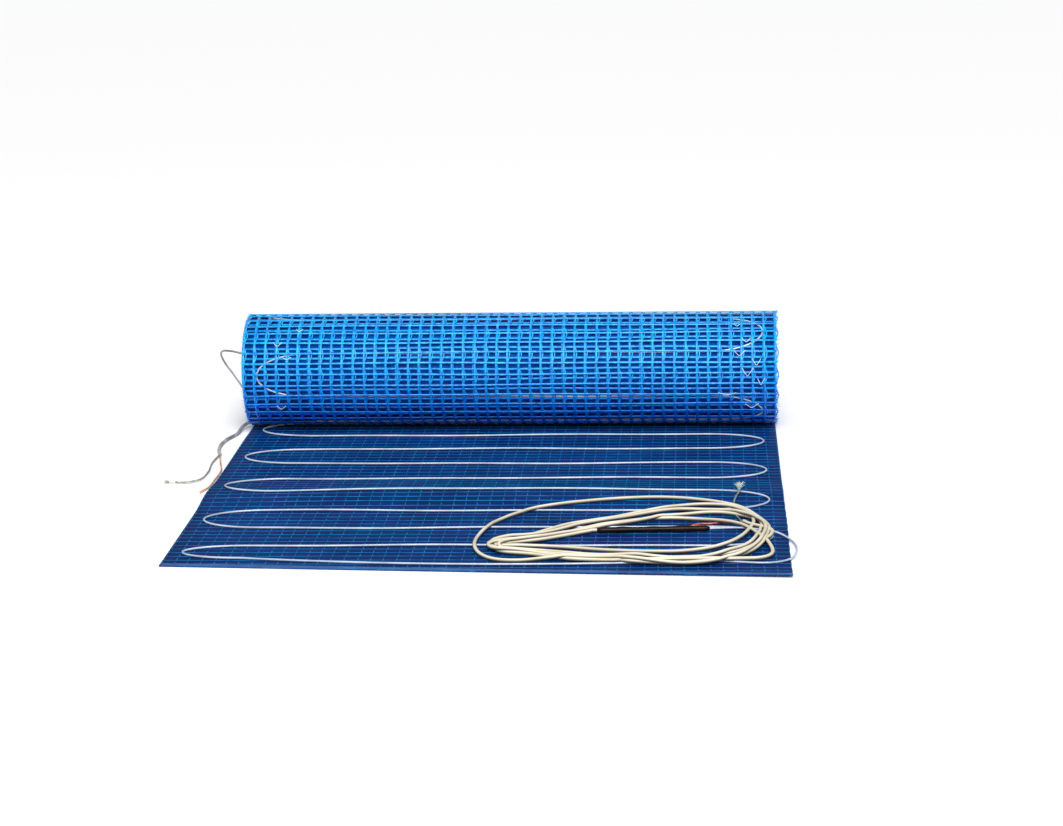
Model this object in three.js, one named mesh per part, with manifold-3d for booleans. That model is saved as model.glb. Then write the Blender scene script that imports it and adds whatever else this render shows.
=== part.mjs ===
// Underfloor heating mat: a glass-fibre mesh mat with a heating cable, partly unrolled from its roll.
// Millimetres, +Z up. +X runs along the roll, +Y points back from the free end towards the roll.
// The origin is on the mat's flat underside, on its centre line, in front of the roll.

import * as THREE from 'three';
import { mergeVertices } from 'three/addons/utils/BufferGeometryUtils.js';
import Module from 'manifold-3d';

const wasm = await Module();
wasm.setup();

// Driving dimensions of the mesh mat and its roll
const matWidth = 480;
const sheetThickness = 1;
const rollRadius = 53;
const boreRadius = 10.5;
const turnPitch = 3.1;
const rollAxisY = 100;
const unrolledLength = 462;
const endSkew = 30;
const nipAngle = THREE.MathUtils.degToRad(10);
const turnGrooveDepth = 4;

// The unrolled stretch is not quite flat: one low wave, and a free end that lifts a little
const waveHeight = 4.6;
const waveHalfLength = 55;
const waveRun = 4;
const endLift = 2;
const endLiftLength = 30;

// Driving dimensions of the heating cable
const cableDiameter = 1.8;
const runSpacing = 50;
const runCount = 9;
const firstRunFromAxis = 47.5;
const turnMargin = 12;
const turnReach = 48;
const lastRunBow = 15;
const lastRunMiddleInset = 215;
const lastRunHalfLength = 195;
const lastRunEndInset = 50;

// Driving dimensions of the cold leads and what is on them
const leadDiameter = 3;
const coilLayers = 2;
const spliceDiameter = 5.2;
const spliceLength = 88;
const spliceLeftInset = 149;
const conductorDiameter = 1.5;
const braidDiameter = 1.6;
const tuftRadius = 5;
const tuftHeight = 9;
const tuftHollow = 1.5;
const tuftInset = 37;
const flareDiameter = 5;
const flareLength = 12;

// Clearance between pieces that rest on each other
const restGap = 0.3;

// Facets
const rollStepsPerTurn = 72;
const grooveStepsPerTurn = 24;
const boreSteps = 32;
const waveSteps = 16;
const endSteps = 5;
const turnSteps = 12;
const bowSteps = 8;
const cableSides = 8;
const coilOutlineSteps = 48;
const roundSides = 16;

// Places worked out from the dimensions above
const halfWidth = matWidth / 2;
const turnTipX = halfWidth - turnMargin;
const lastRunMiddle = halfWidth - lastRunMiddleInset;
const lastRunEndX = halfWidth - lastRunEndInset;
const runY = (run) => rollAxisY - firstRunFromAxis - run * runSpacing;
const waveY = runY(waveRun);
const lastRun = runCount - 1;
const leftEndY = rollAxisY - unrolledLength + endSkew / 2;
const rightEndY = rollAxisY - unrolledLength - endSkew / 2;
const freeEndY = Math.min(leftEndY, rightEndY);
const endLiftStartY = freeEndY + endLiftLength;
const cableRadius = cableDiameter / 2;
const leadRadius = leadDiameter / 2;
const coilFloor = sheetThickness + restGap + cableDiameter + restGap;
const coilHeight = coilLayers * leadDiameter;

// Materials
const meshBlue = new THREE.MeshStandardMaterial({ color: 0x0b55b8, roughness: 0.45, metalness: 0 });
const cableWhite = new THREE.MeshStandardMaterial({ color: 0xdfe6ea, roughness: 0.4, metalness: 0 });
const leadCream = new THREE.MeshStandardMaterial({ color: 0xe9dec2, roughness: 0.4, metalness: 0 });
const leadGrey = new THREE.MeshStandardMaterial({ color: 0x8d9090, roughness: 0.5, metalness: 0 });
const spliceBlack = new THREE.MeshStandardMaterial({ color: 0x17120f, roughness: 0.35, metalness: 0 });
const coreRed = new THREE.MeshStandardMaterial({ color: 0xc4664f, roughness: 0.45, metalness: 0 });
const braidTinned = new THREE.MeshStandardMaterial({ color: 0xaeb6a8, roughness: 0.4, metalness: 0.8 });

// Height of the mat's underside above the floor at a depth y
function undersideHeight(y) {
  const fromWave = Math.abs(y - waveY) / waveHalfLength;
  const wave = fromWave < 1 ? waveHeight * (1 + Math.cos(Math.PI * fromWave)) / 2 : 0;
  const pastLiftStart = Math.max(0, endLiftStartY - y) / endLiftLength;
  return wave + endLift * pastLiftStart * pastLiftStart;
}

// Height of the middle of a round thing of this radius that rests on the mat at a depth y
function restingHeight(y, radius) {
  return undersideHeight(y) + sheetThickness + restGap + radius;
}

// Depths at which the mat's section needs a point, from the roll to the free end
function sectionDepths() {
  const depths = [];
  for (let i = 0; i <= waveSteps; i += 1) {
    depths.push(waveY + waveHalfLength - (2 * waveHalfLength * i) / waveSteps);
  }
  for (let i = 0; i <= endSteps; i += 1) {
    depths.push(THREE.MathUtils.lerp(endLiftStartY, freeEndY, i / endSteps));
  }
  return depths;
}

// A closed mesh as a manifold solid, and back
function toSolid(geometry) {
  const bare = geometry.clone();
  bare.deleteAttribute('normal');
  bare.deleteAttribute('uv');
  const welded = mergeVertices(bare, 1e-4);
  const vertProperties = new Float32Array(welded.attributes.position.array);
  const triVerts = new Uint32Array(welded.index.array);
  return new wasm.Manifold(new wasm.Mesh({ numProp: 3, vertProperties, triVerts }));
}

function toGeometry(solid) {
  const mesh = solid.getMesh();
  const geometry = new THREE.BufferGeometry();
  geometry.setAttribute('position', new THREE.BufferAttribute(mesh.vertProperties, 3));
  geometry.setIndex(new THREE.BufferAttribute(mesh.triVerts, 1));
  geometry.computeVertexNormals();
  return geometry;
}

// A section drawn in depth and height, drawn out along X from one place to another
function alongX(shape, fromX, toX) {
  const options = { depth: toX - fromX, bevelEnabled: false, curveSegments: boreSteps };
  const geometry = new THREE.ExtrudeGeometry(shape, options);
  const depthHeightAlong = new THREE.Matrix4().makeBasis(
    new THREE.Vector3(0, 1, 0),
    new THREE.Vector3(0, 0, 1),
    new THREE.Vector3(1, 0, 0),
  );
  geometry.applyMatrix4(depthHeightAlong);
  geometry.translate(fromX, 0, 0);
  return geometry;
}

// A path whose steps fall on its own points, so that straight stretches take few steps
class StepPath extends THREE.Curve {
  constructor(points) {
    super();
    this.points = points;
  }

  getPoint(t, target = new THREE.Vector3()) {
    const place = t * (this.points.length - 1);
    const index = Math.min(Math.floor(place), this.points.length - 2);
    return target.lerpVectors(this.points[index], this.points[index + 1], place - index);
  }

  getPointAt(u, target) {
    return this.getPoint(u, target);
  }

  getTangentAt(u, target = new THREE.Vector3()) {
    const index = Math.round(u * (this.points.length - 1));
    const before = this.points[Math.max(index - 1, 0)];
    const after = this.points[Math.min(index + 1, this.points.length - 1)];
    return target.subVectors(after, before).normalize();
  }
}

function roundTube(points, diameter, sides = cableSides) {
  const section = new THREE.Shape();
  for (let i = 0; i < sides; i += 1) {
    const angle = (2 * Math.PI * i) / sides;
    const x = (diameter / 2) * Math.cos(angle);
    const y = (diameter / 2) * Math.sin(angle);
    if (i === 0) section.moveTo(x, y);
    else section.lineTo(x, y);
  }
  const path = new StepPath(points);
  return new THREE.ExtrudeGeometry(section, { steps: points.length - 1, extrudePath: path, bevelEnabled: false });
}

// The places of what lies on the mat's right half are given as [distance in from its right side, depth]
function inFromRight([inset, y]) {
  return [halfWidth - inset, y];
}

// The places of what lies beside the mat are given as [distance out from its left side, depth]
function outFromLeft([outset, y]) {
  return [-halfWidth - outset, y];
}

// A smooth run through a few chosen points, with a step about every few diameters
function smoothPoints(points, stepLength) {
  const curve = new THREE.CatmullRomCurve3(points, false, 'centripetal');
  return curve.getSpacedPoints(Math.max(2, Math.round(curve.getLength() / stepLength)));
}

// The mat: roll and unrolled stretch in one section. The outside of the roll is a spiral that ends
// one turn pitch above the unrolled sheet, at the nip.
function matSection() {
  const section = new THREE.Shape();
  section.moveTo(rollAxisY, 0);
  const sweep = 2 * Math.PI - nipAngle;
  const steps = Math.round((rollStepsPerTurn * sweep) / (2 * Math.PI));
  for (let i = 1; i <= steps; i += 1) {
    const angle = (sweep * i) / steps;
    const radius = rollRadius - (turnPitch * angle) / (2 * Math.PI);
    section.lineTo(rollAxisY + radius * Math.sin(angle), rollRadius - radius * Math.cos(angle));
  }
  section.lineTo(nipY(), sheetThickness);
  const depths = sectionDepths();
  depths.forEach((y) => section.lineTo(y, undersideHeight(y) + sheetThickness));
  depths.reverse().forEach((y) => section.lineTo(y, undersideHeight(y)));
  section.closePath();
  const bore = new THREE.Path();
  bore.absarc(rollAxisY, rollRadius, boreRadius, 0, 2 * Math.PI, true);
  section.holes.push(bore);
  return section;
}

function nipY() {
  const radius = rollRadius - turnPitch * (1 - nipAngle / (2 * Math.PI));
  return rollAxisY - radius * Math.sin(nipAngle);
}

// The gap between one turn of the mat and the next, as a spiral band seen from the end
function turnGap() {
  const turns = (rollRadius - boreRadius - turnPitch) / turnPitch;
  const steps = Math.round(turns * grooveStepsPerTurn);
  const band = new THREE.Shape();
  const bandPoint = (i, inset) => {
    const angle = (2 * Math.PI * i) / grooveStepsPerTurn;
    const radius = rollRadius - (turnPitch * angle) / (2 * Math.PI) - inset;
    return [rollAxisY + radius * Math.sin(angle), rollRadius - radius * Math.cos(angle)];
  };
  band.moveTo(...bandPoint(0, sheetThickness));
  for (let i = 1; i <= steps; i += 1) band.lineTo(...bandPoint(i, sheetThickness));
  for (let i = steps; i >= 0; i -= 1) band.lineTo(...bandPoint(i, turnPitch));
  band.closePath();
  return band;
}

// The free end is cut a little askew: the right side is longer than the left by the skew
function cutAskew() {
  const slope = (rightEndY - leftEndY) / matWidth;
  const past = turnMargin;
  const wedge = new THREE.Shape();
  wedge.moveTo(-halfWidth - past, leftEndY - slope * past);
  wedge.lineTo(-halfWidth - past, freeEndY - past);
  wedge.lineTo(halfWidth + past, freeEndY - past);
  wedge.lineTo(halfWidth + past, rightEndY + slope * past);
  wedge.closePath();
  const tall = rollRadius;
  const geometry = new THREE.ExtrudeGeometry(wedge, { depth: 2 * tall, bevelEnabled: false });
  geometry.translate(0, 0, -tall);
  return toSolid(geometry);
}

function meshMat() {
  const gap = turnGap();
  const leftGap = toSolid(alongX(gap, -halfWidth - turnGrooveDepth, -halfWidth + turnGrooveDepth));
  const rightGap = toSolid(alongX(gap, halfWidth - turnGrooveDepth, halfWidth + turnGrooveDepth));
  const whole = toSolid(alongX(matSection(), -halfWidth, halfWidth));
  return toGeometry(whole.subtract(leftGap).subtract(rightGap).subtract(cutAskew()));
}

// Depth of a cable run at a place along it. The last run bows forward in its middle.
function cableY(run, x) {
  const fromMiddle = (x - lastRunMiddle) / lastRunHalfLength;
  const bow = run === lastRun ? lastRunBow * fromMiddle * fromMiddle : 0;
  return runY(run) + bow;
}

// A long round turn between two runs: half an ellipse, drawn out towards its tip
function cableTurn(run, side) {
  const startX = side * (turnTipX - turnReach);
  const fromY = cableY(run, startX);
  const toY = cableY(run + 1, startX);
  const points = [];
  for (let i = 0; i <= turnSteps; i += 1) {
    const angle = (Math.PI * i) / turnSteps;
    const x = startX + side * turnReach * Math.sin(angle);
    const y = (fromY + toY) / 2 + ((fromY - toY) / 2) * Math.cos(angle);
    points.push(new THREE.Vector3(x, y, restingHeight(y, cableRadius)));
  }
  return points;
}

// Places of the splice's two ends: it lies on the mat inside the last hairpin of the cable
const spliceLeft = new THREE.Vector3(halfWidth - spliceLeftInset, -262, 0);
const spliceRight = new THREE.Vector3(0, 5, 0);
spliceLeft.z = restingHeight(spliceLeft.y, spliceDiameter / 2);
spliceRight.x = Math.sqrt(spliceLength * spliceLength - spliceRight.y * spliceRight.y);
spliceRight.add(spliceLeft);

// From the last run round the loop that stands out past the mat's side, and over the last
// hairpin to the splice
function cableTail() {
  const onMat = restingHeight(runY(lastRun), cableRadius);
  const overCable = onMat + cableDiameter + restGap;
  const sideLoop = [[16, -344], [1, -335], [-5.5, -307], [0, -279]].map(inFromRight);
  const overHairpin = [[10, -268], [21, -262], [35, -257]].map(inFromRight);
  const route = [
    new THREE.Vector3(lastRunEndX, cableY(lastRun, lastRunEndX), onMat),
    ...sideLoop.map(([x, y]) => new THREE.Vector3(x, y, onMat)),
    ...overHairpin.map(([x, y]) => new THREE.Vector3(x, y, overCable)),
  ];
  const spliceEnd = spliceRight.clone();
  spliceEnd.x += restGap;
  route.push(spliceEnd);
  return smoothPoints(route, 4 * cableDiameter);
}

// The whole run of heating cable on the unrolled stretch, from the nip to the splice
function heatingCablePoints() {
  const nipTurn = cableTurn(-1, -1);
  const clearOfNip = nipY() - restGap - cableRadius;
  const points = nipTurn.filter((point) => point.y < clearOfNip);
  for (let run = 0; run < lastRun; run += 1) {
    const side = run % 2 === 0 ? 1 : -1;
    points.push(...cableTurn(run, side));
  }
  const bowStart = points[points.length - 1].x;
  for (let i = 1; i < bowSteps; i += 1) {
    const x = THREE.MathUtils.lerp(bowStart, lastRunEndX, i / bowSteps);
    const y = cableY(lastRun, x);
    points.push(new THREE.Vector3(x, y, restingHeight(y, cableRadius)));
  }
  points.push(...cableTail());
  return points;
}

// The turn of cable that stands out of the roll's left end, between its outer turns
function rollLoopPoints() {
  const loopReach = 20;
  const upperAngle = THREE.MathUtils.degToRad(32);
  const lowerAngle = THREE.MathUtils.degToRad(-6);
  const radius = rollRadius - turnPitch * 1.25;
  const points = [];
  for (let i = 0; i <= turnSteps; i += 1) {
    const along = i / turnSteps;
    const angle = THREE.MathUtils.lerp(upperAngle, lowerAngle, along);
    const out = loopReach * Math.sin(Math.PI * along) ** 0.7;
    const x = -halfWidth - restGap - out;
    const y = rollAxisY - radius * Math.cos(angle);
    const z = rollRadius + radius * Math.sin(angle);
    points.push(new THREE.Vector3(x, y, z));
  }
  return points;
}

// Outline of the loose coil of cold lead, anticlockwise, and of the opening in its middle, clockwise
const coilOuter = [
  [238, -331], [215, -344], [160, -347], [90, -351], [28, -344], [11, -328], [10, -290], [12, -240],
  [28, -198], [55, -176], [95, -166], [140, -171], [185, -185], [218, -211], [237, -248], [245, -295],
].map(inFromRight);
const coilInner = [
  [183, -285], [165, -258], [140, -240], [107, -227], [75, -228], [50, -240],
  [40, -264], [50, -296], [75, -311], [120, -306], [160, -299],
].map(inFromRight);

function closedOutline(corners) {
  const curve = new THREE.CatmullRomCurve3(corners.map(([x, y]) => new THREE.Vector3(x, y, 0)), true);
  return curve.getSpacedPoints(coilOutlineSteps).slice(0, -1).map((point) => new THREE.Vector2(point.x, point.y));
}

// The room taken by the unrolled sheet with its cable runs, and their clearances
function roomOfRuns() {
  const aboveUnderside = coilFloor;
  const depths = sectionDepths();
  const room = new THREE.Shape();
  room.moveTo(depths[depths.length - 1], -coilFloor);
  room.lineTo(depths[0], -coilFloor);
  depths.forEach((y) => room.lineTo(y, undersideHeight(y) + aboveUnderside));
  room.closePath();
  return toSolid(alongX(room, -halfWidth, halfWidth));
}

// The coil lies on the cable runs. The cable's tail passes under its right side.
function coldLeadCoil() {
  const outline = new THREE.Shape(closedOutline(coilOuter));
  outline.holes.push(new THREE.Path(closedOutline(coilInner)));
  const ring = new THREE.ExtrudeGeometry(outline, { depth: coilHeight, bevelEnabled: false });
  ring.translate(0, 0, coilFloor);
  const passage = toSolid(roundTube(cableTail(), cableDiameter + 4 * restGap));
  return toGeometry(toSolid(ring).subtract(roomOfRuns()).subtract(passage));
}

// The lead between the splice and the coil
function leadToCoil() {
  const start = spliceLeft.clone();
  start.x -= restGap;
  const onRuns = coilFloor + leadRadius;
  const towardsCoil = [[160, -264], [170, -271], [178, -278.5]].map(inFromRight);
  const route = [start, ...towardsCoil.map(([x, y]) => new THREE.Vector3(x, y, onRuns))];
  return roundTube(smoothPoints(route, 2 * leadDiameter), leadDiameter);
}

// The splice: a shrunk sleeve, a little narrower at its ends
function spliceSleeve() {
  const radius = spliceDiameter / 2;
  const endRadius = leadRadius + restGap;
  const taper = spliceDiameter;
  const profile = [
    new THREE.Vector2(0, 0),
    new THREE.Vector2(endRadius, 0),
    new THREE.Vector2(radius, taper),
    new THREE.Vector2(radius, spliceLength - taper),
    new THREE.Vector2(endRadius, spliceLength),
    new THREE.Vector2(0, spliceLength),
  ];
  const geometry = new THREE.LatheGeometry(profile, roundSides);
  const along = spliceRight.clone().sub(spliceLeft).normalize();
  geometry.applyQuaternion(new THREE.Quaternion().setFromUnitVectors(new THREE.Vector3(0, 1, 0), along));
  geometry.translate(spliceLeft.x, spliceLeft.y, spliceLeft.z);
  return geometry;
}

function onSheetRoute(places, diameter) {
  const radius = diameter / 2;
  return places.map(([x, y]) => new THREE.Vector3(x, y, restingHeight(y, radius)));
}

// The stripped core of the free end, which lies under the coil's near turns
function leadCore() {
  const places = [[37, -237], [50, -236], [62, -238], [75, -242.5]].map(inFromRight);
  const route = onSheetRoute(places, conductorDiameter);
  return roundTube(smoothPoints(route, 4 * conductorDiameter), conductorDiameter);
}

// The free end's drain braid: it comes out behind the coil and stands up in a frayed tuft
function leadBraid() {
  const stemPlaces = [[40, -174], [39, -168], [tuftInset, -159]].map(inFromRight);
  const [tuftX, tuftY] = stemPlaces[stemPlaces.length - 1];
  const stem = onSheetRoute(stemPlaces, braidDiameter);
  const wire = toSolid(roundTube(smoothPoints(stem, 3 * braidDiameter), braidDiameter));
  const radius = braidDiameter / 2;
  const profile = [
    new THREE.Vector2(0, 0),
    new THREE.Vector2(radius, 0),
    new THREE.Vector2(tuftRadius, tuftHeight),
    new THREE.Vector2(0, tuftHeight - tuftHollow),
  ];
  const cone = new THREE.LatheGeometry(profile, roundSides);
  cone.rotateX(Math.PI / 2);
  cone.translate(tuftX, tuftY, undersideHeight(tuftY) + sheetThickness + restGap);
  return toGeometry(wire.add(toSolid(cone)));
}

// The second cold lead comes out of the roll's left end, low down, and lies beside the mat
const sideLeadEnd = new THREE.Vector3(...outFromLeft([12, -13]), leadRadius);

function sideLead() {
  const exit = new THREE.Vector3(...outFromLeft([restGap, 96]), 7);
  const onFloor = [[10, 62], [16, 40], [17.5, 18]].map(outFromLeft);
  const route = [
    exit.clone().setX(exit.x - leadRadius),
    new THREE.Vector3(...outFromLeft([7.5, 84]), 4),
    ...onFloor.map(([x, y]) => new THREE.Vector3(x, y, leadRadius)),
    sideLeadEnd,
  ];
  return roundTube([exit, ...smoothPoints(route, 2.5 * leadDiameter)], leadDiameter);
}

function sideCore() {
  const radius = conductorDiameter / 2;
  const clear = restGap + radius;
  const route = [
    [sideLeadEnd.x + clear, sideLeadEnd.y - restGap],
    ...[[7, -40], [clear + radius, -66], [clear + radius, -100], [2.5, -121], [7, -138]].map(outFromLeft),
  ].map(([x, y]) => new THREE.Vector3(x, y, leadRadius));
  return roundTube(smoothPoints(route, 4 * conductorDiameter), conductorDiameter);
}

// The drain braid of the second lead ends in a flare
function sideBraid() {
  const clear = restGap + braidDiameter / 2;
  const route = [
    [sideLeadEnd.x - clear, sideLeadEnd.y - restGap],
    ...[[14, -42], [12, -74], [15, -98], [24, -106], [34, -106]].map(outFromLeft),
  ].map(([x, y]) => new THREE.Vector3(x, y, leadRadius));
  const points = smoothPoints(route, 4 * braidDiameter);
  const wire = toSolid(roundTube(points, braidDiameter));
  const profile = [
    new THREE.Vector2(0, 0),
    new THREE.Vector2(braidDiameter / 2, 0),
    new THREE.Vector2(flareDiameter / 2, flareLength),
    new THREE.Vector2(0, flareLength),
  ];
  const flare = new THREE.LatheGeometry(profile, cableSides);
  flare.scale(1, 1, leadDiameter / flareDiameter);
  flare.rotateZ(Math.PI / 2);
  const end = points[points.length - 1];
  flare.translate(end.x + braidDiameter, end.y, end.z);
  return toGeometry(wire.add(toSolid(flare)));
}

function piece(name, geometry, material) {
  const mesh = new THREE.Mesh(geometry, material);
  mesh.name = name;
  return mesh;
}

const mat = new THREE.Group();
mat.add(piece('mesh_mat', meshMat(), meshBlue));
mat.add(piece('heating_cable', roundTube(heatingCablePoints(), cableDiameter), cableWhite));
mat.add(piece('heating_cable_roll_loop', roundTube(rollLoopPoints(), cableDiameter), cableWhite));
mat.add(piece('splice_sleeve', spliceSleeve(), spliceBlack));
mat.add(piece('cold_lead', leadToCoil(), leadCream));
mat.add(piece('cold_lead_coil', coldLeadCoil(), leadCream));
mat.add(piece('cold_lead_core', leadCore(), coreRed));
mat.add(piece('cold_lead_braid', leadBraid(), braidTinned));
mat.add(piece('second_lead', sideLead(), leadGrey));
mat.add(piece('second_lead_core', sideCore(), coreRed));
mat.add(piece('second_lead_braid', sideBraid(), braidTinned));

export default mat;
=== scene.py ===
"""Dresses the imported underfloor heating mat: mesh, roll, heating cable, splice and cold leads.

Lengths are in metres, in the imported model's own frame: X along the roll, Y from the free end
to the roll, and Z up.
"""

import math
import random

import bpy
import numpy as np
from mathutils import Matrix, Vector


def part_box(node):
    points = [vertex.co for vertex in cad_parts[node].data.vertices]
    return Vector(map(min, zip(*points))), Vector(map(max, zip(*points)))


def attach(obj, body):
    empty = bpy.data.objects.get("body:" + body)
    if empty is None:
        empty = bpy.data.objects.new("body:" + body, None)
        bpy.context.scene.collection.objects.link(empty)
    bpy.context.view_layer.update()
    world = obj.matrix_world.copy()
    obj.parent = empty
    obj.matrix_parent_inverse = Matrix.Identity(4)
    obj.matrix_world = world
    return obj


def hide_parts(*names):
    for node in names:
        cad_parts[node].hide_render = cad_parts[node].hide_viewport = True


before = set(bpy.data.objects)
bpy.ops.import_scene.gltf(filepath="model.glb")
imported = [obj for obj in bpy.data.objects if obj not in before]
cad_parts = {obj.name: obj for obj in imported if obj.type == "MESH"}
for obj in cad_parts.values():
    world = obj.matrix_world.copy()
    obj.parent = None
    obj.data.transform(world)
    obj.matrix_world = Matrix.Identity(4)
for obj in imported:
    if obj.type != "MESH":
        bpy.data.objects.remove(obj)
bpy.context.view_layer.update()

MM = 0.001
random.seed(7)

# The mat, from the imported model
mat_low, mat_high = (Vector(corner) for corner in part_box("mesh_mat"))
TURN_PITCH = 3.1 * MM
HALF_WIDTH = mat_high.x
ROLL_RADIUS = (mat_high.z + TURN_PITCH / 2) / 2
AXIS_Y = mat_high.y - (ROLL_RADIUS - TURN_PITCH / 4)
RIGHT_END_Y = mat_low.y
END_SKEW = 30 * MM
LEFT_END_Y = RIGHT_END_Y + END_SKEW
SHEET = 1 * MM
BORE_RADIUS = 10.5 * MM
REST_GAP = 0.3 * MM

# The swell that crosses the unrolled mat, and its lifted free end
WAVE_HEIGHT = 4.6 * MM
WAVE_HALF_LENGTH = 55 * MM
WAVE_Y = -147.5 * MM
SIDE_CALM = 0.45
END_LIFT = 2 * MM
END_LIFT_LENGTH = 30 * MM
END_LIFT_START_Y = RIGHT_END_Y + END_LIFT_LENGTH

# The heating cable
CABLE = 1.8 * MM
CABLE_LOOK = 1.6 * MM
RUN_SPACING = 50 * MM
RUN_COUNT = 9
FIRST_RUN_Y = 52.5 * MM
TURN_MARGIN = 12 * MM
TURN_REACH = 48 * MM
LAST_RUN_BOW = 15 * MM
LAST_RUN_MIDDLE = 25 * MM
LAST_RUN_HALF_LENGTH = 195 * MM

# The leads
LEAD = 3.0 * MM
SPLICE = 5.2 * MM
CORE = 1.5 * MM
BRAID = 1.6 * MM
WIRE = 0.4 * MM

# The net
CELL = 10 * MM
CELLS_ACROSS = 48
WEFT_PHASE = 0.8


def smooth_line(points, step):
    """Points every step along one smooth curve through the given ones."""
    knots = [Vector(p) for p in points]
    knots = [2 * knots[0] - knots[1]] + knots + [2 * knots[-1] - knots[-2]]
    fine = []
    for a, b, c, d in zip(knots, knots[1:], knots[2:], knots[3:]):
        t0 = 0.0
        t1 = t0 + math.sqrt(max((b - a).length, 1e-6))
        t2 = t1 + math.sqrt(max((c - b).length, 1e-6))
        t3 = t2 + math.sqrt(max((d - c).length, 1e-6))
        pieces = max(2, round((c - b).length / (0.25 * step)))
        for i in range(pieces):
            t = t1 + (t2 - t1) * i / pieces
            ab = ((t1 - t) * a + (t - t0) * b) / (t1 - t0)
            bc = ((t2 - t) * b + (t - t1) * c) / (t2 - t1)
            cd = ((t3 - t) * c + (t - t2) * d) / (t3 - t2)
            abc = ((t2 - t) * ab + (t - t0) * bc) / (t2 - t0)
            bcd = ((t3 - t) * bc + (t - t1) * cd) / (t3 - t1)
            fine.append(((t2 - t) * abc + (t - t1) * bcd) / (t2 - t1))
    fine.append(knots[-2])
    return even_line(fine, step)


def even_line(points, step):
    """The same line with its points a step apart."""
    fine = np.array([list(p) for p in points])
    gaps = np.linalg.norm(np.diff(fine, axis=0), axis=1)
    along = np.concatenate([[0], np.cumsum(gaps)])
    count = max(2, round(along[-1] / step) + 1)
    places = np.linspace(0, along[-1], count)
    return np.stack([np.interp(places, along, fine[:, k]) for k in range(fine.shape[1])], axis=-1)


def curve_tube(name, points, diameter, material):
    """A curve of one open spline, as thick as the cord, with flat closed ends."""
    data = bpy.data.curves.new(name, "CURVE")
    data.dimensions = "3D"
    data.bevel_depth = diameter / 2
    data.bevel_resolution = 3
    data.use_fill_caps = True
    spline = data.splines.new("POLY")
    spline.points.add(len(points) - 1)
    for target, point in zip(spline.points, points):
        target.co = (*point, 1)
    spline.use_smooth = True
    piece = bpy.data.objects.new(name, data)
    return dressed(piece, material)


def dressed(piece, material):
    """Puts a piece in the scene, on the one body, with its material."""
    if piece.name not in bpy.context.scene.collection.objects:
        bpy.context.scene.collection.objects.link(piece)
    piece.data.materials.append(material)
    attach(piece, "root")
    return piece


def mesh_piece(name, vertices, faces, material, smooth=True):
    mesh = bpy.data.meshes.new(name)
    mesh.from_pydata(vertices, [], faces)
    mesh.update()
    if smooth:
        mesh.polygons.foreach_set("use_smooth", [True] * len(mesh.polygons))
    return dressed(bpy.data.objects.new(name, mesh), material)


def swept(vertices, faces, points, normals, widths, heights, sides):
    """Adds one strand: an oval section carried along points, wide across and high along its normals."""
    points = np.asarray(points)
    normals = np.asarray(normals)
    tangents = np.gradient(points, axis=0)
    across = np.cross(tangents, normals)
    across /= np.linalg.norm(across, axis=1)[:, None]
    start = len(vertices)
    count = len(points)
    widths = np.broadcast_to(widths, count)
    heights = np.broadcast_to(heights, count)
    angles = [2 * math.pi * (k + 0.5) / sides for k in range(sides)]
    for i in range(count):
        for angle in angles:
            offset = across[i] * widths[i] / 2 * math.cos(angle)
            offset = offset + normals[i] * heights[i] / 2 * math.sin(angle)
            vertices.append(tuple(points[i] + offset))
    for i in range(count - 1):
        ring = start + i * sides
        for k in range(sides):
            faces.append((ring + k, ring + (k + 1) % sides, ring + sides + (k + 1) % sides, ring + sides + k))
    faces.append(tuple(start + k for k in reversed(range(sides))))
    faces.append(tuple(start + (count - 1) * sides + k for k in range(sides)))


# The sheet's own surface: x across it, s along it from under the roll's axis, and lift off its middle layer


def underside(x, y):
    """The height of the unrolled mat's lower face."""
    height = 0
    away = abs(y - WAVE_Y)
    if away < WAVE_HALF_LENGTH:
        side_calm = 1 - SIDE_CALM * (x / HALF_WIDTH) ** 2
        height += side_calm * WAVE_HEIGHT * (1 + math.cos(math.pi * away / WAVE_HALF_LENGTH)) / 2
    if y < END_LIFT_START_Y:
        height += END_LIFT * ((END_LIFT_START_Y - y) / END_LIFT_LENGTH) ** 2
    return height


def roll_angle(s):
    """How far round the roll the sheet has turned, from the bottom towards the back."""
    inner_radius = math.sqrt(max(0, ROLL_RADIUS**2 - TURN_PITCH * s / math.pi))
    return (ROLL_RADIUS - inner_radius) * 2 * math.pi / TURN_PITCH


def roll_distance(angle):
    return ROLL_RADIUS * angle - TURN_PITCH * angle**2 / (4 * math.pi)


def on_sheet(x, s, lift):
    """A point at x and s, and the direction in which lift grows: up on the flat, inwards on the roll."""
    if s < 0:
        y = AXIS_Y + s
        return Vector((x, y, underside(x, y) + SHEET / 2 + lift)), Vector((0, 0, 1))
    angle = roll_angle(s)
    inward = Vector((0, -math.sin(angle), math.cos(angle)))
    radius = ROLL_RADIUS - TURN_PITCH * angle / (2 * math.pi) - SHEET / 2 - lift
    return Vector((x, AXIS_Y, ROLL_RADIUS)) - inward * radius, inward


def free_end_y(x):
    """The free end is cut askew."""
    return LEFT_END_Y + (RIGHT_END_Y - LEFT_END_Y) * (x + HALF_WIDTH) / (2 * HALF_WIDTH)


# Materials


def node_material(name, color, roughness, metallic=0.0, coat=0.0, specular=0.5):
    """A material with its Principled shader, ready for more nodes."""
    material = bpy.data.materials.new(name)
    material.use_nodes = True
    nodes = material.node_tree.nodes
    links = material.node_tree.links
    shader = nodes["Principled BSDF"]
    shader.inputs["Base Color"].default_value = (*color, 1)
    shader.inputs["Roughness"].default_value = roughness
    shader.inputs["Metallic"].default_value = metallic
    shader.inputs["Coat Weight"].default_value = coat
    shader.inputs["Coat Roughness"].default_value = 0.2
    shader.inputs["Specular IOR Level"].default_value = specular
    return material, nodes, links, shader


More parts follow.
